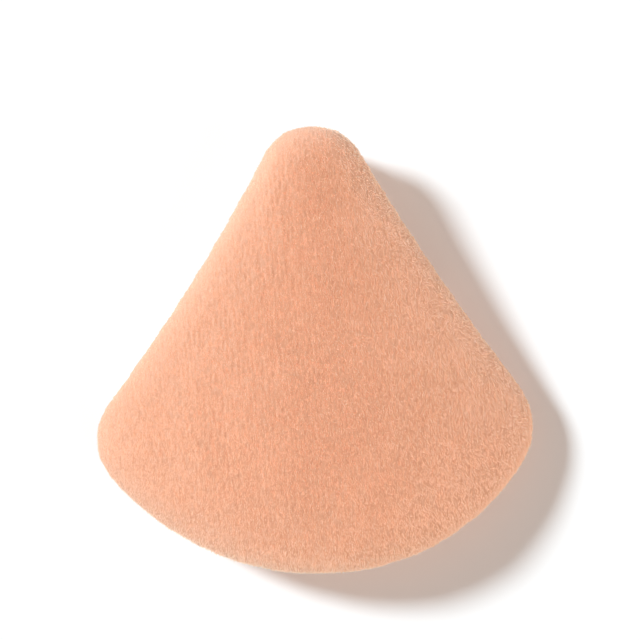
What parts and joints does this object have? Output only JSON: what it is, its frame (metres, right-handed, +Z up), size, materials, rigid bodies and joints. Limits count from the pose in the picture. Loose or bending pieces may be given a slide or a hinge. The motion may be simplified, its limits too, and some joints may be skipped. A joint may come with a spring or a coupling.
{
  "type": "powder puff",
  "caption": "Triangular velour powder puff: two crowned cloth covers sewn round a foam pad, with a ribbon across the back for the fingers.",
  "frame": {"origin": "on the surface that the puff lies on, under the middle of its plan", "axes": "+Z up through the velour working face, +Y from the bulging base edge towards the apex, +X to the right seen from the working face"},
  "size_m": [0.073, 0.074, 0.0172],
  "materials": {
    "velour": "cut-pile cotton velour, peach",
    "foam": "open-cell foam, pale",
    "ribbon": "satin ribbon, peach, unprinted",
    "thread": "twisted polyester sewing thread"
  },
  "bodies": {
    "puff": {"front_cover": "velour", "rear_cover": "velour", "foam_core": "foam", "seam_needle_thread": "thread", "seam_bobbin_thread": "thread", "closing_stitch_thread": "thread", "left_strap_tack": "thread", "right_strap_tack": "thread"},
    "strap": {"finger_strap": "ribbon"}
  },
  "joints": [
    {"name": "strap_lift", "type": "slide", "parent": "puff", "child": "strap", "axis": [0, 0, -1], "range_m": [0, 0.01], "deforming": ["finger_strap"]}
  ]
}
